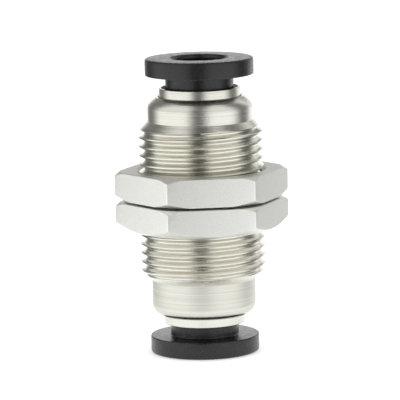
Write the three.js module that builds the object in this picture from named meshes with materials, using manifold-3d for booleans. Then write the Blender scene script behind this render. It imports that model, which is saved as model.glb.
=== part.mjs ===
// Push-to-connect bulkhead union: a threaded brass body with two hexagon nuts,
// and at each end a release sleeve, a guide ring, a grab ring with spring teeth,
// a spacer ring and a tube seal. Millimetres, +Z up, origin at the centre of
// the lower sleeve's face, Z along the axis of the fitting.

import * as THREE from "three";
import { mergeVertices } from "three/addons/utils/BufferGeometryUtils.js";
import Module from "manifold-3d";

const wasm = await Module();
wasm.setup();

// Driving dimensions ---------------------------------------------------------

const SEGMENTS = 36; // facets round every turned piece
const TUBE_RADIUS = 3; // the tube that the fitting grips
const SLIDING_GAP = 0.05;
const LEAD_IN = 0.25; // bevel at each mouth that a tube enters

// lengths along the axis
const COLLAR_THICKNESS = 1.9;
const COLLAR_TO_RING = 1.4; // neck left showing, so that the sleeve can travel
const RING_PROTRUSION = 1;
const BODY_LENGTH = 24.65;
const BODY_BOTTOM = COLLAR_THICKNESS + COLLAR_TO_RING + RING_PROTRUSION;
const BODY_TOP = BODY_BOTTOM + BODY_LENGTH;

// M14 x 1 thread over the middle of the body
const THREAD_RADIUS = 7;
const THREAD_PITCH = 1;
const THREAD_DEPTH = 0.61 * THREAD_PITCH;
const THREAD_TURNS = 18;
const THREAD_START = BODY_BOTTOM + 3.95;
const THREAD_END = THREAD_START + THREAD_TURNS * THREAD_PITCH;
const CREST_FROM = 0.42; // shares of the pitch between which the crest is flat
const CREST_TO = 0.58;

// body
const LOWER_BARREL_RADIUS = 5.8;
const UPPER_BARREL_RADIUS = 5.93;
const RIM_RADIUS = 4.95;
const RIM_ROUND = 1.3; // length of the rolled shoulder at each end
const LIP_LENGTH = 0.9; // rolled lip that holds the guide ring in
const CHAMBER_RADIUS = 5.3;
const CHAMBER_DEPTH = 8.1;
const SEAT_RADIUS = TUBE_RADIUS + 0.1;
const SEAT_DEPTH = 11;
const FLOW_RADIUS = 2.25;

// nuts
const ACROSS_FLATS = 17;
const NUT_THICKNESS = 3.2;
const NUT_GAP = 0.25;
const NUT_BORE_RADIUS = THREAD_RADIUS + 0.12;
const NUT_TOP_CIRCLE = 9.1; // radius where the small bevel meets the upper face
const LOWER_NUT_BOTTOM_CIRCLE = 8.1; // radius where a nut's lower bevel meets its lower face
const UPPER_NUT_BOTTOM_CIRCLE = 8.75;
const NUT_BEVEL_SLOPE = Math.tan(Math.PI / 6);
const LOWER_NUT_BOTTOM = BODY_BOTTOM + 9.75;
const UPPER_NUT_BOTTOM = LOWER_NUT_BOTTOM + NUT_THICKNESS + NUT_GAP;

// guide ring
const RING_RADIUS = 4.6;
const RING_FLANGE_RADIUS = 5.2;
const RING_RECESS_RADIUS = 4.3;
const RING_BORE_RADIUS = 3.95;
const RING_CHAMBER_RADIUS = 4.45;
const RING_SHOULDER_DEPTH = 1.4;
const RING_DEPTH = 3;
const RING_BEVEL = 0.12;

// release sleeve
const COLLAR_RADIUS = 6.1;
const COLLAR_ROUND = 0.3;
const NECK_RADIUS = 3.83;
const SLEEVE_BORE_RADIUS = TUBE_RADIUS + SLIDING_GAP;
const CATCH_RADIUS = 4.2;
const CATCH_TOP = RING_SHOULDER_DEPTH + 0.1;
const CATCH_BOTTOM = CATCH_TOP + 0.35;
const NOSE_RADIUS = 3.6;
const NOSE_DEPTH = 3.3;
const SLIT_WIDTH = 0.5;
const SLIT_LENGTH = 2.7;

// grab ring and its teeth
const SHEET = 0.25; // thickness of the stainless sheet
const GRAB_RING_TOP = RING_DEPTH + 0.1;
const GRAB_RING_BORE = 4.5;
const TEETH = 8;
const TOOTH_HINGE_RADIUS = 4.3;
const TOOTH_HINGE_DEPTH = GRAB_RING_TOP + SHEET / 2;
const TOOTH_SLOPE = THREE.MathUtils.degToRad(38);
const TOOTH_TIP_RADIUS = 2.85;
const TOOTH_ROOT_OFFSET = 0.1;
const TOOTH_ROOT_WIDTH = 2.4;
const TOOTH_TIP_WIDTH = 1.3;

// spacer ring and seal
const SPACER_TOP = GRAB_RING_TOP + SHEET + 0.1;
const SPACER_FLOOR = 5.2;
const SPACER_BOTTOM = 5.8;
const SPACER_CAVITY_RADIUS = 4.7;
const SPACER_BORE_RADIUS = TUBE_RADIUS + 0.15;
const SEAL_SECTION = 1.08; // radius of the ring's round section
const SEAL_SIDES = 12;

// Materials ------------------------------------------------------------------

const MATERIALS = {
  nickel: { color: 0xc9c6bc, roughness: 0.22, metalness: 1 },
  nutNickel: { color: 0xc6c4ba, roughness: 0.38, metalness: 1 },
  blackPlastic: { color: 0x1b1c1e, roughness: 0.35, metalness: 0 },
  stainless: { color: 0xb4b5b6, roughness: 0.3, metalness: 1 },
  whitePlastic: { color: 0xd9d7cd, roughness: 0.5, metalness: 0 },
  rubber: { color: 0x131313, roughness: 0.75, metalness: 0 },
};

function piece(name, geometry, finish) {
  const mesh = new THREE.Mesh(geometry, new THREE.MeshStandardMaterial(MATERIALS[finish]));
  mesh.name = name;
  return mesh;
}

// Turned shapes and booleans -------------------------------------------------

// Turns a closed outline of [radius, height] points about the Z axis. The
// outline runs up its outer side and down its inner side.
function turned(outline) {
  const points = [...outline, outline[0]].map(([radius, height]) => new THREE.Vector2(radius, height));
  return new THREE.LatheGeometry(points, SEGMENTS).rotateX(Math.PI / 2);
}

function toSolid(geometry) {
  const bare = geometry.clone().deleteAttribute("normal").deleteAttribute("uv");
  const merged = mergeVertices(bare);
  return new wasm.Manifold(
    new wasm.Mesh({
      numProp: 3,
      vertProperties: new Float32Array(merged.attributes.position.array),
      triVerts: new Uint32Array(merged.index.array),
    }),
  );
}

function toGeometry(solid) {
  const mesh = solid.getMesh();
  const geometry = new THREE.BufferGeometry();
  geometry.setAttribute("position", new THREE.BufferAttribute(mesh.vertProperties, 3));
  geometry.setIndex(new THREE.BufferAttribute(mesh.triVerts, 1));
  geometry.computeVertexNormals();
  return geometry;
}

// Points on a quarter-turn bend from one [radius, height] point to another,
// bulging towards the corner point between them.
function bend(from, corner, to, steps) {
  const curve = new THREE.QuadraticBezierCurve(
    new THREE.Vector2(...from),
    new THREE.Vector2(...corner),
    new THREE.Vector2(...to),
  );
  return curve.getPoints(steps).map((point) => point.toArray());
}

// Body -----------------------------------------------------------------------

// The side of the bore from one end face inwards, for heights counted from
// that face. `inward` is -1 at the top end and +1 at the bottom end.
function boreSide(face, inward) {
  const at = (depth) => face + inward * depth;
  return [
    [RING_RADIUS + 0.1, face],
    [RING_RADIUS + 0.1, at(LIP_LENGTH)],
    [CHAMBER_RADIUS, at(LIP_LENGTH)],
    [CHAMBER_RADIUS, at(CHAMBER_DEPTH)],
    [SEAT_RADIUS + LEAD_IN, at(CHAMBER_DEPTH)],
    [SEAT_RADIUS, at(CHAMBER_DEPTH + LEAD_IN)],
    [SEAT_RADIUS, at(SEAT_DEPTH)],
    [FLOW_RADIUS, at(SEAT_DEPTH)],
  ];
}

// Where a thread point stands at a share `turn` of one revolution. The thread
// climbs one pitch a turn, and a cone of 45 degrees cuts it off at both ends.
function threadPoint(pitches, turn) {
  const climbed = THREAD_START + (pitches - 1 + turn) * THREAD_PITCH;
  const height = THREE.MathUtils.clamp(climbed, THREAD_START, THREAD_END);
  const share = pitches % 1;
  const onCrest = share > CREST_FROM - 0.01 && share < CREST_TO + 0.01;
  const radius = Math.min(
    onCrest ? THREAD_RADIUS : THREAD_RADIUS - THREAD_DEPTH,
    LOWER_BARREL_RADIUS + height - THREAD_START,
    UPPER_BARREL_RADIUS + THREAD_END - height,
  );
  return [radius, height];
}

function threadPitches() {
  const pitches = [];
  for (let ridge = 0; ridge <= THREAD_TURNS; ridge += 1) {
    pitches.push(ridge, ridge + CREST_FROM, ridge + CREST_TO);
  }
  return [...pitches, THREAD_TURNS + 1];
}

// Turns the outline, then raises each thread vertex by its share of a turn, so
// that the end of every ridge meets the start of the next one.
function body() {
  const pitches = threadPitches();
  const below = [
    [RIM_RADIUS, BODY_BOTTOM],
    ...bend(
      [RIM_RADIUS, BODY_BOTTOM],
      [LOWER_BARREL_RADIUS, BODY_BOTTOM + RIM_ROUND / 2],
      [LOWER_BARREL_RADIUS, BODY_BOTTOM + RIM_ROUND],
      4,
    ).slice(1),
  ];
  const above = bend(
    [UPPER_BARREL_RADIUS, BODY_TOP - RIM_ROUND],
    [UPPER_BARREL_RADIUS, BODY_TOP - RIM_ROUND / 2],
    [RIM_RADIUS, BODY_TOP],
    4,
  );
  const thread = pitches.map((share) => threadPoint(share, 0));
  const bore = [...boreSide(BODY_TOP, -1), ...boreSide(BODY_BOTTOM, 1).reverse()];
  const outline = [...below, ...thread, ...above, ...bore];

  const geometry = turned(outline);
  const position = geometry.attributes.position;
  const perColumn = outline.length + 1;
  for (let vertex = 0; vertex < position.count; vertex += 1) {
    const threadIndex = (vertex % perColumn) - below.length;
    if (threadIndex < 0 || threadIndex >= pitches.length) continue;
    const turn = Math.floor(vertex / perColumn) / SEGMENTS;
    const [radius, height] = threadPoint(pitches[threadIndex], turn);
    const angle = turn * 2 * Math.PI;
    position.setXYZ(vertex, radius * Math.sin(angle), -radius * Math.cos(angle), height);
  }
  return piece("body", toGeometry(toSolid(withoutSlivers(geometry))), "nickel");
}

// Drops the triangles that have shrunk to a line where the thread runs out.
function withoutSlivers(geometry) {
  const bare = mergeVertices(geometry.clone().deleteAttribute("normal").deleteAttribute("uv"));
  const index = bare.index.array;
  const kept = [];
  for (let corner = 0; corner < index.length; corner += 3) {
    const [a, b, c] = index.slice(corner, corner + 3);
    if (a !== b && b !== c && c !== a) kept.push(a, b, c);
  }
  return bare.setIndex(kept);
}

// Nuts -----------------------------------------------------------------------

function hexagonPrism() {
  const outline = new THREE.Shape();
  const cornerRadius = ACROSS_FLATS / Math.sqrt(3);
  for (let corner = 0; corner < 6; corner += 1) {
    const angle = (corner * Math.PI) / 3;
    outline[corner ? "lineTo" : "moveTo"](cornerRadius * Math.cos(angle), cornerRadius * Math.sin(angle));
  }
  outline.closePath();
  const bore = new THREE.Path();
  bore.absarc(0, 0, NUT_BORE_RADIUS, 0, 2 * Math.PI, true);
  outline.holes.push(bore);
  return new THREE.ExtrudeGeometry(outline, {
    depth: NUT_THICKNESS,
    bevelEnabled: false,
    curveSegments: SEGMENTS / 2,
  });
}

// The solid that bevels the corners of a nut: a disc with a cone at each face.
function nutEnvelope(bottomCircle) {
  const widest = 10.5;
  const outline = [
    [0, 0],
    [bottomCircle, 0],
    [widest, (widest - bottomCircle) * NUT_BEVEL_SLOPE],
    [widest, NUT_THICKNESS - (widest - NUT_TOP_CIRCLE) * NUT_BEVEL_SLOPE],
    [NUT_TOP_CIRCLE, NUT_THICKNESS],
    [0, NUT_THICKNESS],
  ];
  return turned(outline);
}

function nut(name, bottom, bottomCircle) {
  const shape = toSolid(hexagonPrism()).intersect(toSolid(withoutSlivers(nutEnvelope(bottomCircle))));
  const mesh = piece(name, toGeometry(shape), "nutNickel");
  mesh.position.z = bottom;
  return mesh;
}

// Pieces of one end. Heights are counted outwards from the body's end face. ----

function guideRing(name) {
  const outline = [
    [RING_CHAMBER_RADIUS, -RING_DEPTH],
    [RING_FLANGE_RADIUS, -RING_DEPTH],
    [RING_FLANGE_RADIUS, -LIP_LENGTH - 0.08],
    [RING_RADIUS, -LIP_LENGTH - 0.08],
    [RING_RADIUS, RING_PROTRUSION - RING_BEVEL],
    [RING_RADIUS - RING_BEVEL, RING_PROTRUSION],
    [RING_RECESS_RADIUS, RING_PROTRUSION],
    [RING_RECESS_RADIUS, RING_PROTRUSION - 0.6],
    [RING_BORE_RADIUS, RING_PROTRUSION - 0.8],
    [RING_BORE_RADIUS, -RING_SHOULDER_DEPTH],
    [RING_CHAMBER_RADIUS, -RING_SHOULDER_DEPTH],
  ];
  return piece(name, turned(outline), "nickel");
}

function sleeveOutline() {
  const collarBottom = RING_PROTRUSION + COLLAR_TO_RING;
  const collarTop = collarBottom + COLLAR_THICKNESS;
  const round = (from, corner, to) => bend(from, corner, to, 3);
  return [
    [SLEEVE_BORE_RADIUS, -NOSE_DEPTH],
    [NOSE_RADIUS - 0.15, -NOSE_DEPTH],
    [NOSE_RADIUS, -NOSE_DEPTH + 0.2],
    [NOSE_RADIUS, -CATCH_BOTTOM - 0.4],
    [CATCH_RADIUS, -CATCH_BOTTOM],
    [CATCH_RADIUS, -CATCH_TOP],
    [NECK_RADIUS, -CATCH_TOP],
    [NECK_RADIUS, collarBottom],
    [COLLAR_RADIUS - COLLAR_ROUND / 2, collarBottom],
    [COLLAR_RADIUS, collarBottom + COLLAR_ROUND / 2],
    ...round(
      [COLLAR_RADIUS, collarTop - COLLAR_ROUND],
      [COLLAR_RADIUS, collarTop],
      [COLLAR_RADIUS - COLLAR_ROUND, collarTop],
    ),
    [SLEEVE_BORE_RADIUS + LEAD_IN, collarTop],
    [SLEEVE_BORE_RADIUS, collarTop - LEAD_IN],
  ];
}

// Two crossing slits part the nose into four springy fingers.
function releaseSleeve(name) {
  let shape = toSolid(withoutSlivers(turned(sleeveOutline())));
  for (const angle of [Math.PI / 4, (3 * Math.PI) / 4]) {
    const slit = new THREE.BoxGeometry(4 * CATCH_RADIUS, SLIT_WIDTH, 2 * SLIT_LENGTH);
    slit.rotateZ(angle);
    slit.translate(0, 0, -NOSE_DEPTH);
    shape = shape.subtract(toSolid(slit));
  }
  return piece(name, toGeometry(shape), "blackPlastic");
}

function grabRing(name) {
  const outline = [
    [GRAB_RING_BORE, -GRAB_RING_TOP - SHEET],
    [RING_FLANGE_RADIUS, -GRAB_RING_TOP - SHEET],
    [RING_FLANGE_RADIUS, -GRAB_RING_TOP],
    [GRAB_RING_BORE, -GRAB_RING_TOP],
  ];
  return piece(name, turned(outline), "stainless");
}

// A tooth is a tapered plate that leans from its hinge line in towards the tube.
function grabTooth(name, angle) {
  const length = (TOOTH_HINGE_RADIUS - TOOTH_TIP_RADIUS) / Math.cos(TOOTH_SLOPE);
  const outline = new THREE.Shape([
    new THREE.Vector2(-TOOTH_ROOT_OFFSET, -TOOTH_ROOT_WIDTH / 2),
    new THREE.Vector2(-TOOTH_ROOT_OFFSET, TOOTH_ROOT_WIDTH / 2),
    new THREE.Vector2(-length, TOOTH_TIP_WIDTH / 2),
    new THREE.Vector2(-length, -TOOTH_TIP_WIDTH / 2),
  ]);
  const plate = new THREE.ExtrudeGeometry(outline, { depth: SHEET, bevelEnabled: false });
  plate.translate(0, 0, -SHEET / 2);
  const mesh = piece(name, plate, "stainless");
  mesh.rotation.y = -TOOTH_SLOPE;
  mesh.position.set(TOOTH_HINGE_RADIUS, 0, -TOOTH_HINGE_DEPTH);
  const turnedTo = new THREE.Group();
  turnedTo.rotation.z = angle;
  turnedTo.add(mesh);
  return turnedTo;
}

function spacerRing(name) {
  const outline = [
    [SPACER_BORE_RADIUS, -SPACER_BOTTOM],
    [RING_FLANGE_RADIUS, -SPACER_BOTTOM],
    [RING_FLANGE_RADIUS, -SPACER_TOP],
    [SPACER_CAVITY_RADIUS, -SPACER_TOP],
    [SPACER_CAVITY_RADIUS, -SPACER_FLOOR],
    [SPACER_BORE_RADIUS, -SPACER_FLOOR],
  ];
  return piece(name, turned(outline), "whitePlastic");
}

function tubeSeal(name) {
  const ring = new THREE.TorusGeometry(TUBE_RADIUS + SEAL_SECTION, SEAL_SECTION, SEAL_SIDES, SEGMENTS);
  const mesh = piece(name, ring, "rubber");
  mesh.position.z = -(SPACER_BOTTOM + CHAMBER_DEPTH) / 2;
  return mesh;
}

function tubeEnd(side) {
  const end = new THREE.Group();
  end.add(releaseSleeve(`release_sleeve_${side}`));
  end.add(guideRing(`guide_ring_${side}`));
  end.add(grabRing(`grab_ring_${side}`));
  for (let tooth = 0; tooth < TEETH; tooth += 1) {
    const angle = ((tooth + 0.5) * 2 * Math.PI) / TEETH;
    end.add(grabTooth(`grab_tooth_${side}_${tooth + 1}`, angle));
  }
  end.add(spacerRing(`spacer_ring_${side}`));
  end.add(tubeSeal(`tube_seal_${side}`));
  return end;
}

// Assembly -------------------------------------------------------------------

function fitting() {
  const group = new THREE.Group();
  group.add(body());
  group.add(nut("lower_nut", LOWER_NUT_BOTTOM, LOWER_NUT_BOTTOM_CIRCLE));
  group.add(nut("upper_nut", UPPER_NUT_BOTTOM, UPPER_NUT_BOTTOM_CIRCLE));

  const top = tubeEnd("top");
  top.position.z = BODY_TOP;
  group.add(top);

  const bottom = tubeEnd("bottom");
  bottom.rotation.x = Math.PI;
  bottom.position.z = BODY_BOTTOM;
  group.add(bottom);
  return group;
}

export default fitting();
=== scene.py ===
"""Push to connect bulkhead fitting: its visible surfaces, materials, light and camera."""

import functools
import math

import bmesh
import bpy
from mathutils import Matrix, Vector


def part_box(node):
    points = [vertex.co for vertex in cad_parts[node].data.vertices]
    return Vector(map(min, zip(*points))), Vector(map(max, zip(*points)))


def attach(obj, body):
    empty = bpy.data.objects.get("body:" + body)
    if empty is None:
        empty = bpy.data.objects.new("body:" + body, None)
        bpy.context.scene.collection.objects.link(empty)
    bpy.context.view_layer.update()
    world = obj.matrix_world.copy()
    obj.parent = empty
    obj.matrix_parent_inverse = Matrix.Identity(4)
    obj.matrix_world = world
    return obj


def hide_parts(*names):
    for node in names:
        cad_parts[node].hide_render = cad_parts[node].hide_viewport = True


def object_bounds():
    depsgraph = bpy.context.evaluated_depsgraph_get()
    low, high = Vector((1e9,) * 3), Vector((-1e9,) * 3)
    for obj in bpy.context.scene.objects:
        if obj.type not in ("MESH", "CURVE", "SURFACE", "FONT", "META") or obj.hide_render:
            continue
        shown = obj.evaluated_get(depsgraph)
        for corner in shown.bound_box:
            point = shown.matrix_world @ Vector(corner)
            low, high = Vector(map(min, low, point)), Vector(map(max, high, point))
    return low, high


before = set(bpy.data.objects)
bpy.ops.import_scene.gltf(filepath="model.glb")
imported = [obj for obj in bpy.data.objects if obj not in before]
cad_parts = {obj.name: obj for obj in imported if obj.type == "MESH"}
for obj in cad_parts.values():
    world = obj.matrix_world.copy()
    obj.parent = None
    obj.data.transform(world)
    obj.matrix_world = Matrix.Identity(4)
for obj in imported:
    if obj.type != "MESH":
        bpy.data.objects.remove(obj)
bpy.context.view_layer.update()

# Sizes below are in millimetres, in the frame's own axes: Z runs along the fitting.
MM = 0.001


def height_range(node):
    """Lowest and highest Z of a CAD node, in millimetres."""
    low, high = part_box(node)
    return low.z / MM, high.z / MM


BODY_BOTTOM, BODY_TOP = height_range("body")
LOWER_NUT_BOTTOM, LOWER_NUT_TOP = height_range("lower_nut")
UPPER_NUT_BOTTOM = height_range("upper_nut")[0]
NUT_THICKNESS = LOWER_NUT_TOP - LOWER_NUT_BOTTOM
ACROSS_FLATS = 2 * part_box("upper_nut")[1].y / MM
THREAD_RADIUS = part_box("body")[1].y / MM
FITTING_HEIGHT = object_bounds()[1].z / MM

SIDES = ("top", "bottom")
TURN = 2 * math.pi
COLUMNS = 160  # facets round a turned piece
CREASE = 40  # degrees; edges sharper than this stay sharp
BODY_CREASE = 35
NUT_CREASE = 25
SEAL_CREASE = 60
WELD_DISTANCE = 2e-7  # metres
LEAST_EDGE = 1e-8  # metres

# M14 x 1 thread
LOWER_BARREL_LENGTH = 3.95  # from the body's end face to the thread
PITCH = 1.0
THREAD_DEPTH = 0.61
THREAD_TURNS = 18
THREAD_START = BODY_BOTTOM + LOWER_BARREL_LENGTH
THREAD_END = THREAD_START + THREAD_TURNS * PITCH
POINTS_PER_PITCH = 14
CREST_SHARE = 0.16  # half width of the flat crest, as a share of half a pitch
ROOT_SHARE = 0.86  # where the flat root begins, as a share of half a pitch
STRAIGHT_FLANK = 0.6  # how much of the flank's shape is straight; the rest is eased

# body
LOWER_BARREL_RADIUS = 5.8
UPPER_BARREL_RADIUS = 5.93
RIM_RADIUS = 4.95
RIM_ROUND = 1.3  # length of the rolled shoulder at each end
LOWER_BULGE = 0.3  # height of the curve's corner on the lower shoulder, as a share of its length
UPPER_BULGE = 0.55
SHOULDER_STEPS = 12
MOUTH_RADIUS = 4.7
LIP_LENGTH = 0.9
CHAMBER_RADIUS = 5.3
CHAMBER_DEPTH = 8.1
SEAT_RADIUS = 3.1
SEAT_DEPTH = 11
SEAT_LEAD_IN = 0.25
FLOW_RADIUS = 2.25

# nuts
NUT_BORE_RADIUS = THREAD_RADIUS + 0.07
NUT_TOP_CIRCLE = 9.1  # radii of the circles where the bevels meet a nut's two faces
LOWER_NUT_BOTTOM_CIRCLE = 8.1
UPPER_NUT_BOTTOM_CIRCLE = 8.75
NUT_EDGE_ROUND = 0.2
BEVEL_SLOPE = math.tan(math.pi / 6)
LEAST_BEVEL = 0.08
COUNTERSINK = 0.3
FLAT_COLUMNS = 40

# pieces of one tube end; heights and depths count from the body's end face, depths into the body
TUBE_RADIUS = 3.0
CARTRIDGE_RADIUS = 5.2  # outer radius of what is stacked inside the body

# release sleeve
COLLAR_BOTTOM = 2.4
COLLAR_TOP = FITTING_HEIGHT - BODY_TOP
COLLAR_RADIUS = 6.1
COLLAR_ROUND = 0.3
NECK_RADIUS = 3.83
BORE_RADIUS = 3.05
MOUTH_LEAD_IN = 0.27
MOUTH_LEAD_DEPTH = 0.3
CATCH_RADIUS = 4.2
CATCH_TOP_DEPTH = 1.5
CATCH_BOTTOM_DEPTH = 1.85
NOSE_START_DEPTH = 2.25
NOSE_RADIUS = 3.6
NOSE_DEPTH = 3.3
NOSE_TIP_RADIUS = 3.45
NOSE_TIP_LENGTH = 0.2
SLIT_LENGTH = 2.7
SLIT_WIDTH = 0.5
SLIT_REACH = 16  # longer than the sleeve is wide

# guide ring
RING_PROTRUSION = 1.0
RING_RADIUS = 4.6
RING_RECESS_RADIUS = 4.3
RING_RECESS_DEPTH = 0.6
RING_RECESS_FLOOR = 0.8
RING_BORE_RADIUS = 3.95
RING_CHAMBER_RADIUS = 4.45
RING_SHOULDER_DEPTH = 1.4
RING_FLANGE_DEPTH = LIP_LENGTH + 0.08
RING_DEPTH = 3.0

# grab ring and its teeth
SHEET = 0.25
GRAB_RING_BORE = 4.54
GRAB_RING_DEPTH = 3.1
TEETH = 8
COLUMNS_PER_TOOTH = 24
NOTCH_DEPTH = 0.28
NOTCH_SHARE = 0.22  # half width of a notch, as a share of half the distance between teeth
TOOTH_HINGE_RADIUS = 4.3
TOOTH_HINGE_DEPTH = GRAB_RING_DEPTH + SHEET / 2
TOOTH_SLOPE = math.radians(38)
TOOTH_TIP_RADIUS = 2.85
TOOTH_STEPS = 10
TOOTH_ROOT_OFFSET = 0.1
TOOTH_DROP = 0.02
TOOTH_ROOT_HALF_WIDTH = 1.12
TOOTH_TIP_HALF_WIDTH = 0.65
TOOTH_WAIST = 0.06  # how much narrower a tooth is at its middle, as a share of its width
TOOTH_GRIND_START = 0.8  # share of the tooth's length where its tip starts to thin
TOOTH_GRIND = 0.55
TOOTH_HOLLOW = 0.07
TOOTH_ARCH = 0.05

# spacer and seal
SPACER_TOP = 3.45  # depths of its upper face, of its cavity's floor and of its lower face
SPACER_FLOOR = 5.2
SPACER_BOTTOM = 5.8
SPACER_BORE_RADIUS = 3.15
SPACER_CAVITY_RADIUS = 4.7
SEAL_SECTION = 1.08
SEAL_POINTS = 36
SEAL_FLASH = 0.03
INNER_COLUMNS = 96  # facets round the spacer and the seal


# Meshes ---------------------------------------------------------------------


def new_piece(name, vertices, faces, place=None, crease=CREASE):
    """A mesh object in metres from points in millimetres; edges over `crease` degrees stay sharp."""
    mesh = bpy.data.meshes.new(name)
    mesh.from_pydata([tuple(v) for v in vertices], [], faces)
    mesh.transform(Matrix.Scale(MM, 4) @ (place or Matrix.Identity(4)))
    mesh.validate()
    piece = bpy.data.objects.new(name, mesh)
    bpy.context.scene.collection.objects.link(piece)
    smooth(mesh, crease)
    return piece


def smooth(mesh, crease):
    """Smooth shading everywhere but over edges sharper than `crease` degrees."""
    mesh.polygons.foreach_set("use_smooth", [True] * len(mesh.polygons))
    mesh.set_sharp_from_angle(angle=math.radians(crease))
    mesh.update()


def ring_point(radius, height, turn):
    """A point at a share of a turn, counted from -Y towards +X."""
    return (radius * math.sin(TURN * turn), -radius * math.cos(TURN * turn), height)


def grid_faces(columns, rows):
    """Quads of a closed loop of columns, each a closed loop of rows."""
    faces = []
    for column in range(columns):
        here, beside = column * rows, (column + 1) % columns * rows
        for row in range(rows):
            above = (row + 1) % rows
            faces.append((here + row, beside + row, beside + above, here + above))
    return faces


def curve(start, corner, end, steps):
    """Points of a quadratic curve from start to end that bulges towards corner, both ends included."""
    points = []
    for step in range(steps + 1):
        t = step / steps
        pulls = (((1 - t) ** 2, start), (2 * t * (1 - t), corner), (t * t, end))
        points.append(tuple(sum(pull * point[axis] for pull, point in pulls) for axis in (0, 1)))
    return points


def rounded(outline, steps=4):
    """A closed outline of (radius, height, rounding) corners as plain (radius, height) points."""
    points = []
    for index, (radius, height, rounding) in enumerate(outline):
        corner = Vector((radius, height))
        if not rounding:
            points.append(tuple(corner))
            continue
        before = Vector(outline[index - 1][:2])
        after = Vector(outline[(index + 1) % len(outline)][:2])
        start = corner + (before - corner).normalized() * rounding
        end = corner + (after - corner).normalized() * rounding
        points += curve(start, corner, end, steps)
    return points


def turned(name, outline, place=None, columns=COLUMNS, crease=CREASE):
    """A ring with this closed (radius, height) outline, which runs up outside and down inside."""
    vertices = [ring_point(r, z, column / columns) for column in range(columns) for r, z in outline]
    return new_piece(name, vertices, grid_faces(columns, len(outline)), place, crease)


def apply_modifiers(piece):
    """Replaces a piece's mesh by the one that its modifiers make."""
    graph = bpy.context.evaluated_depsgraph_get()
    mesh = bpy.data.meshes.new_from_object(piece.evaluated_get(graph))
    piece.modifiers.clear()
    piece.data = mesh


def end_place(side):
    """Where a tube end's own frame stands: at the body's end face, Z pointing out of the body."""
    if side == "top":
        return Matrix.Translation((0, 0, BODY_TOP))
    return Matrix.Translation((0, 0, BODY_BOTTOM)) @ Matrix.Rotation(math.pi, 4, "X")


# Thread ---------------------------------------------------------------------


def thread_form(share):
    """Depth of the thread at a share of the pitch, from 0 on the crest to 1 at the root."""
    from_crest = abs(share - 0.5) * 2
    t = min(max((from_crest - CREST_SHARE) / (ROOT_SHARE - CREST_SHARE), 0), 1)
    eased = t * t * (3 - 2 * t)
    return STRAIGHT_FLANK * t + (1 - STRAIGHT_FLANK) * eased


def thread_point(pitches, turn):
    """Radius and height of the body's thread, which climbs one pitch a turn between two cones."""
    climbed = THREAD_START + (pitches - 1 + turn) * PITCH
    height = min(max(climbed, THREAD_START), THREAD_END)
    full = THREAD_RADIUS - THREAD_DEPTH * thread_form(pitches % 1)
    lower_cone = LOWER_BARREL_RADIUS + height - THREAD_START
    upper_cone = UPPER_BARREL_RADIUS + THREAD_END - height
    return min(full, lower_cone, upper_cone), height


def body_bore(face, inward):
    """The bore's side from one end face inwards, as corners with their roundings."""
    return [
        (MOUTH_RADIUS, face, 0.03),
        (MOUTH_RADIUS, face + inward * LIP_LENGTH, 0),
        (CHAMBER_RADIUS, face + inward * LIP_LENGTH, 0),
        (CHAMBER_RADIUS, face + inward * CHAMBER_DEPTH, 0.15),
        (SEAT_RADIUS + SEAT_LEAD_IN, face + inward * CHAMBER_DEPTH, 0.04),
        (SEAT_RADIUS, face + inward * (CHAMBER_DEPTH + SEAT_LEAD_IN), 0.04),
        (SEAT_RADIUS, face + inward * SEAT_DEPTH, 0.08),
        (FLOW_RADIUS, face + inward * SEAT_DEPTH, 0.08),
    ]


def body_outline():
    """The body's outline in three stretches: below the thread, above it, and down through the bore."""
    below = curve(
        (RIM_RADIUS, BODY_BOTTOM),
        (LOWER_BARREL_RADIUS, BODY_BOTTOM + LOWER_BULGE * RIM_ROUND),
        (LOWER_BARREL_RADIUS, BODY_BOTTOM + RIM_ROUND),
        SHOULDER_STEPS,
    )
    above = curve(
        (UPPER_BARREL_RADIUS, BODY_TOP - RIM_ROUND),
        (UPPER_BARREL_RADIUS, BODY_TOP - UPPER_BULGE * RIM_ROUND),
        (RIM_RADIUS, BODY_TOP),
        SHOULDER_STEPS,
    )
    bore = rounded(body_bore(BODY_TOP, -1) + body_bore(BODY_BOTTOM, 1)[::-1])
    return below, above, bore


def make_body():
    """The body's outline swept once round; welding joins the last column to the first."""
    below, above, bore = body_outline()
    points = (THREAD_TURNS + 1) * POINTS_PER_PITCH + 1
    pitches = [point / POINTS_PER_PITCH for point in range(points)]
    vertices = []
    rows = len(below) + len(pitches) + len(above) + len(bore)
    for column in range(COLUMNS + 1):
        turn = column / COLUMNS
        outline = below + [thread_point(share, turn) for share in pitches] + above + bore
        vertices += [ring_point(r, z, turn) for r, z in outline]
    faces = [
        (here + row, here + rows + row, here + rows + (row + 1) % rows, here + (row + 1) % rows)
        for here in range(0, COLUMNS * rows, rows)
        for row in range(rows)
    ]
    piece = new_piece("threaded_body", vertices, faces)
    weld(piece.data)
    smooth(piece.data, BODY_CREASE)
    return finish_piece(piece, "fitting_body", nickel(), "body")


def weld(mesh):
    """Joins points that fall on each other, and drops the faces that this leaves without area."""
    work = bmesh.new()
    work.from_mesh(mesh)
    bmesh.ops.remove_doubles(work, verts=work.verts, dist=WELD_DISTANCE)
    bmesh.ops.dissolve_degenerate(work, edges=work.edges, dist=LEAST_EDGE)
    work.to_mesh(mesh)
    work.free()


# Nuts -----------------------------------------------------------------------


def nut_turn(column):
    """Share of a turn at which a nut's column stands; they crowd towards the hexagon's edges."""
    flats = column / FLAT_COLUMNS
    flat = round(flats)
    return (flat + math.sin(math.pi * (flats - flat)) / 2) / 6


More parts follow.
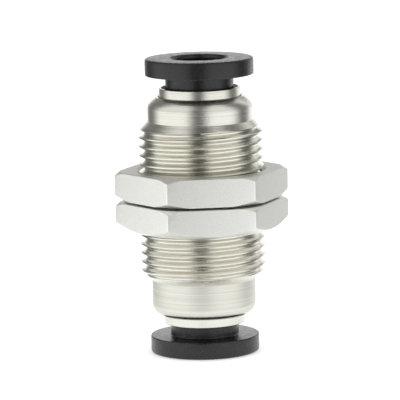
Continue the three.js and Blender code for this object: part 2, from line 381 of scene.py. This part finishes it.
def hexagon_radius(turn):
    """Distance from the axis to the hexagon's side, whose six edges are slightly rounded."""
    from_flat = abs((turn * 6 + 0.5) % 1 - 0.5) * TURN / 6
    from_edge = TURN / 12 - from_flat
    centre = (ACROSS_FLATS / 2 - NUT_EDGE_ROUND) / math.cos(TURN / 12)
    half_width = NUT_EDGE_ROUND * math.sin(TURN / 12)
    if math.tan(from_edge) * (centre + NUT_EDGE_ROUND * math.cos(TURN / 12)) >= half_width:
        return ACROSS_FLATS / 2 / math.cos(from_flat)
    beyond = NUT_EDGE_ROUND**2 - (centre * math.sin(from_edge)) ** 2
    return centre * math.cos(from_edge) + math.sqrt(beyond)


def nut_outline(turn, bottom, bottom_circle):
    """The nut's outside at one share of a turn, from its lower countersink to its upper one."""
    side = hexagon_radius(turn)
    low = min(side - LEAST_BEVEL, bottom_circle)
    high = min(side - LEAST_BEVEL, NUT_TOP_CIRCLE)
    top = bottom + NUT_THICKNESS
    mouth = NUT_BORE_RADIUS + COUNTERSINK
    outline = rounded([
        (NUT_BORE_RADIUS, bottom + COUNTERSINK, 0),
        (mouth, bottom, 0.03),
        (low, bottom, 0.03),
        (side, bottom + (side - low) * BEVEL_SLOPE, 0.03),
        (side, top - (side - high) * BEVEL_SLOPE, 0.03),
        (high, top, 0.03),
        (mouth, top, 0.03),
        (NUT_BORE_RADIUS, top - COUNTERSINK, 0),
    ])
    return outline[1:-1]


def nut_thread(turn, bottom):
    """The nut's own thread, in the grooves of the body's, from its top to its bottom."""
    points = []
    length = NUT_THICKNESS - 2 * COUNTERSINK
    steps = round(length / PITCH * POINTS_PER_PITCH)
    for step in range(steps + 1):
        height = bottom + COUNTERSINK + length * (1 - step / steps)
        share = (height - THREAD_START) / PITCH - turn
        depth = THREAD_DEPTH * thread_form(share % 1)
        room = min(height - bottom, bottom + NUT_THICKNESS - height)
        points.append((NUT_BORE_RADIUS - min(depth, room - COUNTERSINK), height))
    return points


def make_nut(name, bottom, bottom_circle):
    vertices = []
    columns = 6 * FLAT_COLUMNS
    for column in range(columns):
        turn = nut_turn(column)
        outline = nut_outline(turn, bottom, bottom_circle) + nut_thread(turn, bottom)
        vertices += [ring_point(r, z, turn) for r, z in outline]
    faces = grid_faces(columns, len(vertices) // columns)
    piece = new_piece(name + "_hexagon", vertices, faces, crease=NUT_CREASE)
    return finish_piece(piece, name, nut_nickel(), name)


# Pieces of a tube end -------------------------------------------------------


def make_sleeve(side):
    outline = rounded([
        (BORE_RADIUS, -NOSE_DEPTH, 0.05),
        (NOSE_TIP_RADIUS, -NOSE_DEPTH, 0.05),
        (NOSE_RADIUS, -NOSE_DEPTH + NOSE_TIP_LENGTH, 0.05),
        (NOSE_RADIUS, -NOSE_START_DEPTH, 0.1),
        (CATCH_RADIUS, -CATCH_BOTTOM_DEPTH, 0.06),
        (CATCH_RADIUS, -CATCH_TOP_DEPTH, 0.05),
        (NECK_RADIUS, -CATCH_TOP_DEPTH, 0.08),
        (NECK_RADIUS, COLLAR_BOTTOM, 0.18),
        (COLLAR_RADIUS, COLLAR_BOTTOM, 0.14),
        (COLLAR_RADIUS, COLLAR_TOP, COLLAR_ROUND),
        (BORE_RADIUS + MOUTH_LEAD_IN, COLLAR_TOP, 0.07),
        (BORE_RADIUS, COLLAR_TOP - MOUTH_LEAD_DEPTH, 0.12),
    ], 6)
    piece = turned(f"release_sleeve_{side}_moulding", outline, end_place(side))
    for quarter in (1, 3):
        cut_slit(piece, side, quarter * math.pi / 4)
    smooth(piece.data, CREASE)
    body = f"release_sleeve_{side}"
    return finish_piece(piece, body, black_plastic(), body)


def cut_slit(piece, side, angle):
    """Parts the sleeve's nose across its whole width."""
    cutter_mesh = bpy.data.meshes.new("slit")
    work = bmesh.new()
    bmesh.ops.create_cube(work, size=1)
    work.to_mesh(cutter_mesh)
    work.free()
    size = Matrix.Diagonal((SLIT_REACH, SLIT_WIDTH, 2 * SLIT_LENGTH, 1))
    at_nose = end_place(side) @ Matrix.Translation((0, 0, -NOSE_DEPTH))
    cutter_mesh.transform(Matrix.Scale(MM, 4) @ at_nose @ Matrix.Rotation(angle, 4, "Z") @ size)
    cutter = bpy.data.objects.new("slit", cutter_mesh)
    bpy.context.scene.collection.objects.link(cutter)
    cut = piece.modifiers.new("slit", "BOOLEAN")
    cut.operation = "DIFFERENCE"
    cut.object = cutter
    cut.solver = "EXACT"
    apply_modifiers(piece)
    bpy.data.objects.remove(cutter)


def make_guide_ring(side):
    outline = rounded([
        (RING_CHAMBER_RADIUS, -RING_DEPTH, 0.04),
        (CARTRIDGE_RADIUS, -RING_DEPTH, 0.06),
        (CARTRIDGE_RADIUS, -RING_FLANGE_DEPTH, 0.06),
        (RING_RADIUS, -RING_FLANGE_DEPTH, 0),
        (RING_RADIUS, RING_PROTRUSION, 0.1),
        (RING_RECESS_RADIUS, RING_PROTRUSION, 0.06),
        (RING_RECESS_RADIUS, RING_PROTRUSION - RING_RECESS_DEPTH, 0.08),
        (RING_BORE_RADIUS, RING_PROTRUSION - RING_RECESS_FLOOR, 0.08),
        (RING_BORE_RADIUS, -RING_SHOULDER_DEPTH, 0.05),
        (RING_CHAMBER_RADIUS, -RING_SHOULDER_DEPTH, 0.05),
    ])
    piece = turned(f"guide_ring_{side}_turned", outline, end_place(side))
    return finish_piece(piece, "fitting_body", nickel(), f"guide_ring_{side}")


def notch(turn):
    """Depth of the rounded notches between the teeth in the grab ring's bore, at a share of a turn."""
    from_notch = 1 - abs((turn * TEETH) % 1 - 0.5) * 2
    if from_notch >= NOTCH_SHARE:
        return 0
    return NOTCH_DEPTH * (1 - (from_notch / NOTCH_SHARE) ** 2) ** 0.5


def make_grab_ring(side):
    """A pressed washer with a notch between each pair of teeth."""
    vertices = []
    columns = TEETH * COLUMNS_PER_TOOTH
    for column in range(columns):
        turn = column / columns
        bore = GRAB_RING_BORE + notch(turn)
        outline = rounded([
            (bore, -GRAB_RING_DEPTH - SHEET, 0.03),
            (CARTRIDGE_RADIUS, -GRAB_RING_DEPTH - SHEET, 0.05),
            (CARTRIDGE_RADIUS, -GRAB_RING_DEPTH, 0.05),
            (bore, -GRAB_RING_DEPTH, 0.03),
        ], 3)
        vertices += [ring_point(r, z, turn + 0.25) for r, z in outline]
    faces = grid_faces(columns, len(vertices) // columns)
    piece = new_piece(f"grab_ring_{side}_pressing", vertices, faces, end_place(side))
    return finish_piece(piece, "fitting_body", stainless(), f"grab_ring_{side}")


def tooth_point(along, across, layer):
    """A point on a tooth's upper (layer 1) or lower (-1) side; along runs 0 to 1, across -1 to 1."""
    length = (TOOTH_HINGE_RADIUS - TOOTH_TIP_RADIUS) / math.cos(TOOTH_SLOPE)
    bow = math.sin(math.pi * along)
    half_width = TOOTH_ROOT_HALF_WIDTH * (1 - along) + TOOTH_TIP_HALF_WIDTH * along
    ground = max(0, (along - TOOTH_GRIND_START) / (1 - TOOTH_GRIND_START))
    thickness = SHEET / 2 * (1 - TOOTH_GRIND * ground)
    hollow = TOOTH_HOLLOW * (1 - across * across) * along
    reach = TOOTH_ROOT_OFFSET + (length - TOOTH_ROOT_OFFSET) * along - hollow
    height = layer * thickness + TOOTH_ARCH * bow - TOOTH_DROP
    return (-reach, across * half_width * (1 - TOOTH_WAIST * bow), height)


def make_tooth(side, number):
    """A spring tooth: a tapered leaf with a ground tip hollowed to fit the tube."""
    shares = [step / TOOTH_STEPS for step in range(TOOTH_STEPS + 1)]
    vertices = [
        tooth_point(along, 2 * across - 1, layer)
        for layer in (1, -1)
        for along in shares
        for across in shares
    ]
    angle = (number - 0.5) * TURN / TEETH
    place = (
        end_place(side)
        @ Matrix.Rotation(angle, 4, "Z")
        @ Matrix.Translation((TOOTH_HINGE_RADIUS, 0, -TOOTH_HINGE_DEPTH))
        @ Matrix.Rotation(-TOOTH_SLOPE, 4, "Y")
    )
    body = f"grab_tooth_{side}_{number}"
    piece = new_piece(f"{body}_leaf", vertices, leaf_faces(TOOTH_STEPS, TOOTH_STEPS), place)
    return finish_piece(piece, body, stainless(), body)


def leaf_faces(along, across):
    """Faces of a plate made of an upper and a lower grid of points, with its four edges closed."""
    stride = across + 1
    below = (along + 1) * stride
    faces = []
    for i in range(along):
        for k in range(across):
            a, b = i * stride + k, (i + 1) * stride + k
            faces.append((a, a + 1, b + 1, b))
            faces.append((below + a, below + b, below + b + 1, below + a + 1))
        for k, flip in ((0, False), (across, True)):
            a, b = i * stride + k, (i + 1) * stride + k
            face = (a, b, below + b, below + a)
            faces.append(face[::-1] if flip else face)
    for i, flip in ((0, True), (along, False)):
        for k in range(across):
            a = i * stride + k
            face = (a, a + 1, below + a + 1, below + a)
            faces.append(face[::-1] if flip else face)
    return faces


def make_spacer(side):
    outline = rounded([
        (SPACER_BORE_RADIUS, -SPACER_BOTTOM, 0.1),
        (CARTRIDGE_RADIUS, -SPACER_BOTTOM, 0.12),
        (CARTRIDGE_RADIUS, -SPACER_TOP, 0.08),
        (SPACER_CAVITY_RADIUS, -SPACER_TOP, 0.08),
        (SPACER_CAVITY_RADIUS, -SPACER_FLOOR, 0.1),
        (SPACER_BORE_RADIUS, -SPACER_FLOOR, 0.1),
    ])
    piece = turned(f"spacer_ring_{side}_moulding", outline, end_place(side), INNER_COLUMNS)
    return finish_piece(piece, "fitting_body", white_plastic(), f"spacer_ring_{side}")


def make_seal(side):
    """A round ring with the thin flash line of its mould at its widest and narrowest."""
    middle = -(SPACER_BOTTOM + CHAMBER_DEPTH) / 2
    outline = []
    for point in range(SEAL_POINTS):
        angle = TURN * point / SEAL_POINTS
        section = SEAL_SECTION + (0 if point % (SEAL_POINTS // 2) else SEAL_FLASH)
        radius = TUBE_RADIUS + SEAL_SECTION + section * math.cos(angle)
        outline.append((radius, middle + section * math.sin(angle)))
    piece = turned(f"tube_seal_{side}_ring", outline, end_place(side), INNER_COLUMNS, SEAL_CREASE)
    return finish_piece(piece, "fitting_body", rubber(), f"tube_seal_{side}")


def even_normals(piece):
    """Lets wide faces set shared normals, so that a rounding doesn't bend the shine beside it."""
    modifier = piece.modifiers.new("even_normals", "WEIGHTED_NORMAL")
    modifier.keep_sharp = True
    apply_modifiers(piece)


def finish_piece(piece, body, material, node):
    """Gives a piece its material and slot, sets it on its body and lets it stand for its CAD node."""
    even_normals(piece)
    piece.data.materials.clear()
    piece.data.materials.append(material)
    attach(piece, body)
    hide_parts(node)
    return piece


# Materials ------------------------------------------------------------------

SATIN = 0.30  # roughness added to the barrel below the thread
TURNED_END = 0.08  # roughness added above the thread

def material(name, metallic=0):
    """A new node material, with its nodes, its shader and its object coordinates in millimetres."""
    made = bpy.data.materials.new(name)
    made.use_nodes = True
    tree = made.node_tree
    shader = tree.nodes["Principled BSDF"]
    shader.inputs["Metallic"].default_value = metallic
    coordinates = tree.nodes.new("ShaderNodeTexCoord")
    millimetres = stretched(tree, coordinates.outputs["Object"], (1 / MM,) * 3)
    return made, tree, shader, millimetres


def surface(tree, shader, colour, roughness, normal=None):
    """Links what makes up a surface to its shader."""
    tree.links.new(colour, shader.inputs["Base Color"])
    tree.links.new(roughness, shader.inputs["Roughness"])
    if normal is not None:
        tree.links.new(normal, shader.inputs["Normal"])


def noise(tree, vector, scale, detail=3, roughness=0.6):
    """Smooth random values with features about 1 / scale millimetres wide."""
    node = tree.nodes.new("ShaderNodeTexNoise")
    node.inputs["Scale"].default_value = scale
    node.inputs["Detail"].default_value = detail
    node.inputs["Roughness"].default_value = roughness
    tree.links.new(vector, node.inputs["Vector"])
    return node.outputs["Fac"]


def stretched(tree, vector, scale):
    """The same coordinates with each axis scaled by its own amount."""
    node = tree.nodes.new("ShaderNodeMapping")
    node.inputs["Scale"].default_value = scale
    tree.links.new(vector, node.inputs["Vector"])
    return node.outputs["Vector"]


def ranged(tree, value, low, high, start=0.25, end=0.75):
    """A value mapped from start..end to low..high."""
    node = tree.nodes.new("ShaderNodeMapRange")
    node.inputs["From Min"].default_value = start
    node.inputs["From Max"].default_value = end
    node.inputs["To Min"].default_value = low
    node.inputs["To Max"].default_value = high
    tree.links.new(value, node.inputs["Value"])
    return node.outputs["Result"]


def tinted(tree, value, dark, light):
    """A colour between dark and light."""
    node = tree.nodes.new("ShaderNodeMix")
    node.data_type = "RGBA"
    node.inputs["A"].default_value = (*dark, 1)
    node.inputs["B"].default_value = (*light, 1)
    tree.links.new(value, node.inputs["Factor"])
    return node.outputs["Result"]


def bumped(tree, height, depth):
    """A normal from heights, which stand for `depth` millimetres between 0 and 1."""
    node = tree.nodes.new("ShaderNodeBump")
    node.inputs["Distance"].default_value = depth * MM
    node.inputs["Strength"].default_value = 1.0
    tree.links.new(height, node.inputs["Height"])
    return node.outputs["Normal"]


def height_in(tree, vector):
    """Height along the fitting in millimetres."""
    node = tree.nodes.new("ShaderNodeSeparateXYZ")
    tree.links.new(vector, node.inputs["Vector"])
    return node.outputs["Z"]


def combined(tree, operation, first, second):
    """Two values joined by an operation such as ADD or MINIMUM."""
    node = tree.nodes.new("ShaderNodeMath")
    node.operation = operation
    tree.links.new(first, node.inputs[0])
    tree.links.new(second, node.inputs[1])
    return node.outputs["Value"]


@functools.cache
def nickel():
    """Bright plate over turned brass, with fine rings from the lathe and a satin lower barrel."""
    made, tree, shader, mm = material("nickel", 1)
    rings = noise(tree, stretched(tree, mm, (0.02, 0.02, 5)), 1.0, 5, 0.75)
    height = height_in(tree, mm)
    above_rim = ranged(tree, height, 0, SATIN, BODY_BOTTOM + 0.1, BODY_BOTTOM + 0.9)
    below_thread = ranged(tree, height, SATIN, 0, THREAD_START - 0.2, THREAD_START + 0.6)
    satin = combined(tree, "MINIMUM", above_rim, below_thread)
    turned_end = ranged(tree, height, 0, TURNED_END, THREAD_END - 0.6, THREAD_END)
    colour = tinted(tree, ranged(tree, rings, 0, 1), (0.57, 0.55, 0.45), (0.83, 0.825, 0.79))
    roughness = combined(tree, "ADD", ranged(tree, rings, 0.10, 0.20), satin)
    roughness = combined(tree, "ADD", roughness, turned_end)
    surface(tree, shader, colour, roughness, bumped(tree, rings, 0.022))
    return made


@functools.cache
def nut_nickel():
    """Satin plate: barrel-tumbled, with a fine even grain and shallow dents."""
    made, tree, shader, mm = material("nut_nickel", 1)
    grain = noise(tree, mm, 4, 5, 0.75)
    colour = tinted(tree, ranged(tree, grain, 0, 1), (0.76, 0.756, 0.71), (0.90, 0.899, 0.86))
    surface(tree, shader, colour, ranged(tree, grain, 0.40, 0.52), bumped(tree, grain, 0.02))
    return made


@functools.cache
def black_plastic():
    """Moulded acetal: nearly black, soft gloss, a grained skin and faint flow marks."""
    made, tree, shader, mm = material("black_plastic")
    flow = noise(tree, mm, 1.6, 4)
    skin = noise(tree, mm, 4, 5, 0.75)
    colour = tinted(tree, ranged(tree, flow, 0, 1), (0.003, 0.003, 0.0034), (0.008, 0.008, 0.009))
    surface(tree, shader, colour, ranged(tree, flow, 0.22, 0.36), bumped(tree, skin, 0.02))
    return made


@functools.cache
def stainless():
    """Cold-rolled spring sheet with a fine grain."""
    made, tree, shader, mm = material("stainless", 1)
    grain = noise(tree, stretched(tree, mm, (14, 2, 2)), 1.0, 3)
    colour = tinted(tree, ranged(tree, grain, 0, 1), (0.52, 0.52, 0.51), (0.62, 0.62, 0.61))
    surface(tree, shader, colour, ranged(tree, grain, 0.22, 0.36), bumped(tree, grain, 0.003))
    return made


@functools.cache
def white_plastic():
    """Natural acetal."""
    made, tree, shader, mm = material("white_plastic")
    flow = noise(tree, mm, 1.5, 3)
    colour = tinted(tree, ranged(tree, flow, 0, 1), (0.70, 0.69, 0.63), (0.78, 0.77, 0.72))
    surface(tree, shader, colour, ranged(tree, flow, 0.4, 0.52))
    return made


@functools.cache
def rubber():
    """Moulded nitrile rubber."""
    made, tree, shader, mm = material("rubber")
    skin = noise(tree, mm, 9, 4)
    colour = tinted(tree, ranged(tree, skin, 0, 1), (0.010, 0.010, 0.011), (0.022, 0.022, 0.023))
    surface(tree, shader, colour, ranged(tree, skin, 0.55, 0.75), bumped(tree, skin, 0.006))
    return made


# Stage ----------------------------------------------------------------------

CAMERA_AZIMUTH = math.radians(-7)
CAMERA_DISTANCE = 382  # along the floor
CAMERA_HEIGHT = 76.3
CAMERA_LENS = 309.6
CAMERA_ROLL = math.radians(1.3)
AIM_HEIGHT = FITTING_HEIGHT / 2 + 0.5
AIM_LEFT = 0.23

FLOOR_HALF_WIDTH = 3  # metres
FLOOR_DROP = 0.00005  # metres
FLOOR_COLOUR = (0.86, 0.87, 0.88, 1)
FLOOR_ROUGHNESS = 0.6
FLOOR_GLOW = 0.35

# name, turn from the camera in degrees, width, distance, bottom, top, brightness
UPRIGHT_CARDS = (
    ("card_front", -4, 42, 44, 0.5, 260, 0.13),
    ("card_left", -128, 62, 44, 0.5, 260, 0.22),
    ("card_right", 102, 54, 44, 0.5, 260, 0.21),
    ("card_back", 180, 240, 300, 0.5, 90, 1.5),
    ("card_back_high", 180, 420, 200, 90, 260, 0.25),
)
CARD_CORE = (0.4, 0.6)  # shares of a card's width between which it is solid

# name, width, reach to the front and back, height, brightness
OVERHEAD_CARD = ("card_above", 130, 150, 200, 0.15)

SOFTBOX_TURN = math.radians(58)
SOFTBOX_ELEVATION = math.radians(28)
SOFTBOX_DISTANCE = 600
SOFTBOX_SIZE = (320, 420)
SOFTBOX_POWER = 0.45


def direction(azimuth):
    """The level direction at an azimuth counted from -Y, where positive turns towards +X."""
    return Vector((math.sin(azimuth), -math.cos(azimuth), 0))


def level_right(out):
    """The level direction to the right of someone who looks against `out`."""
    return Vector((0, 0, 1)).cross(out)


def make_camera():
    data = bpy.data.cameras.new("camera")
    data.lens = CAMERA_LENS
    data.clip_start, data.clip_end = 0.01, 20
    camera = bpy.data.objects.new("camera", data)
    bpy.context.scene.collection.objects.link(camera)
    bpy.context.scene.camera = camera
    out = direction(CAMERA_AZIMUTH)
    position = out * CAMERA_DISTANCE + Vector((0, 0, CAMERA_HEIGHT))
    aim = Vector((0, 0, AIM_HEIGHT)) - level_right(out) * AIM_LEFT
    forward = (aim - position).normalized()
    right = forward.cross(Vector((0, 0, 1))).normalized()
    up = right.cross(forward)
    c, s = math.cos(CAMERA_ROLL), math.sin(CAMERA_ROLL)
    rotation = Matrix((right * c - up * s, right * s + up * c, -forward)).transposed()
    camera.matrix_world = Matrix.Translation(position * MM) @ rotation.to_4x4()


def make_floor():
    mesh = bpy.data.meshes.new("floor")
    work = bmesh.new()
    bmesh.ops.create_grid(work, x_segments=1, y_segments=1, size=FLOOR_HALF_WIDTH)
    work.to_mesh(mesh)
    work.free()
    floor = bpy.data.objects.new("floor", mesh)
    floor.location.z = -FLOOR_DROP
    bpy.context.scene.collection.objects.link(floor)
    made, _, shader, _ = material("floor_white")
    shader.inputs["Base Color"].default_value = FLOOR_COLOUR
    shader.inputs["Roughness"].default_value = FLOOR_ROUGHNESS
    shader.inputs["Emission Color"].default_value = (1, 1, 1, 1)
    shader.inputs["Emission Strength"].default_value = FLOOR_GLOW
    mesh.materials.append(made)


def make_card(name, corners, grey):
    """A card that only reflections see: it gives the bright metal its dark bands and its shine."""
    card = new_piece(name, corners, [(0, 1, 2, 3)])
    uv = card.data.uv_layers.new(name="across")
    for loop, place in zip(uv.data, ((0, 0), (1, 0), (1, 1), (0, 1))):
        loop.uv = place
    card.data.materials.append(card_material(name, grey))
    for ray in ("visible_camera", "visible_diffuse", "visible_shadow", "visible_transmission"):
        setattr(card, ray, False)


def upright_card(name, degrees, width, distance, bottom, top, grey):
    out = direction(CAMERA_AZIMUTH + math.radians(degrees))
    centre = out * distance
    right = level_right(out) * width / 2
    low, high = Vector((0, 0, bottom)), Vector((0, 0, top))
    corners = [centre - right + low, centre + right + low, centre + right + high, centre - right + high]
    make_card(name, corners, grey)


def overhead_card(name, width, reach, height, grey):
    """A level strip over the fitting that runs from the camera's side to the back."""
    out = direction(CAMERA_AZIMUTH)
    ahead = out * reach
    right = level_right(out) * width / 2
    up = Vector((0, 0, height))
    corners = [up + ahead - right, up + ahead + right, up - ahead + right, up - ahead - right]
    make_card(name, corners, grey)


def card_material(name, grey):
    """Grey in the middle, clear at the card's two upright edges, with a soft change between."""
    made = bpy.data.materials.new(name)
    made.use_nodes = True
    tree = made.node_tree
    tree.nodes.clear()
    place = tree.nodes.new("ShaderNodeUVMap")
    place.uv_map = "across"
    split = tree.nodes.new("ShaderNodeSeparateXYZ")
    ramp = tree.nodes.new("ShaderNodeValToRGB")
    ramp.color_ramp.interpolation = "EASE"
    ramp.color_ramp.elements[0].position = 0
    ramp.color_ramp.elements[0].color = (0, 0, 0, 1)
    ramp.color_ramp.elements[1].position = 1
    ramp.color_ramp.elements[1].color = (0, 0, 0, 1)
    for position in CARD_CORE:
        ramp.color_ramp.elements.new(position).color = (1, 1, 1, 1)
    clear = tree.nodes.new("ShaderNodeBsdfTransparent")
    glow = tree.nodes.new("ShaderNodeEmission")
    glow.inputs["Color"].default_value = (grey, grey, grey, 1)
    mix = tree.nodes.new("ShaderNodeMixShader")
    output = tree.nodes.new("ShaderNodeOutputMaterial")
    tree.links.new(place.outputs["UV"], split.inputs["Vector"])
    tree.links.new(split.outputs["X"], ramp.inputs["Fac"])
    tree.links.new(ramp.outputs["Color"], mix.inputs["Fac"])
    tree.links.new(clear.outputs["BSDF"], mix.inputs[1])
    tree.links.new(glow.outputs["Emission"], mix.inputs[2])
    tree.links.new(mix.outputs["Shader"], output.inputs["Surface"])
    return made


def make_softbox(name, azimuth):
    """A large soft light that reflections don't see."""
    data = bpy.data.lights.new(name, "AREA")
    data.shape = "RECTANGLE"
    data.size, data.size_y = (side * MM for side in SOFTBOX_SIZE)
    data.energy = SOFTBOX_POWER
    light = bpy.data.objects.new(name, data)
    bpy.context.scene.collection.objects.link(light)
    level = direction(azimuth) * math.cos(SOFTBOX_ELEVATION)
    out = level + Vector((0, 0, math.sin(SOFTBOX_ELEVATION)))
    light.visible_glossy = False
    light.location = out * SOFTBOX_DISTANCE * MM
    light.rotation_mode = "QUATERNION"
    light.rotation_quaternion = (-out).to_track_quat("-Z", "Y")


def make_world():
    world = bpy.data.worlds.new("studio")
    world.use_nodes = True
    background = world.node_tree.nodes["Background"]
    background.inputs["Color"].default_value = (1, 1, 1, 1)
    background.inputs["Strength"].default_value = 1.0
    bpy.context.scene.world = world


def make_stage():
    bpy.context.scene.view_settings.view_transform = "Standard"
    make_camera()
    make_floor()
    make_world()
    for card in UPRIGHT_CARDS:
        upright_card(*card)
    overhead_card(*OVERHEAD_CARD)
    make_softbox("softbox_left", CAMERA_AZIMUTH - SOFTBOX_TURN)
    make_softbox("softbox_right", CAMERA_AZIMUTH + SOFTBOX_TURN)


# Build ----------------------------------------------------------------------


def make_fitting():
    make_body()
    make_nut("lower_nut", LOWER_NUT_BOTTOM, LOWER_NUT_BOTTOM_CIRCLE)
    make_nut("upper_nut", UPPER_NUT_BOTTOM, UPPER_NUT_BOTTOM_CIRCLE)
    for side in SIDES:
        make_sleeve(side)
        make_guide_ring(side)
        make_grab_ring(side)
        for number in range(1, TEETH + 1):
            make_tooth(side, number)
        make_spacer(side)
        make_seal(side)


make_stage()
make_fitting()
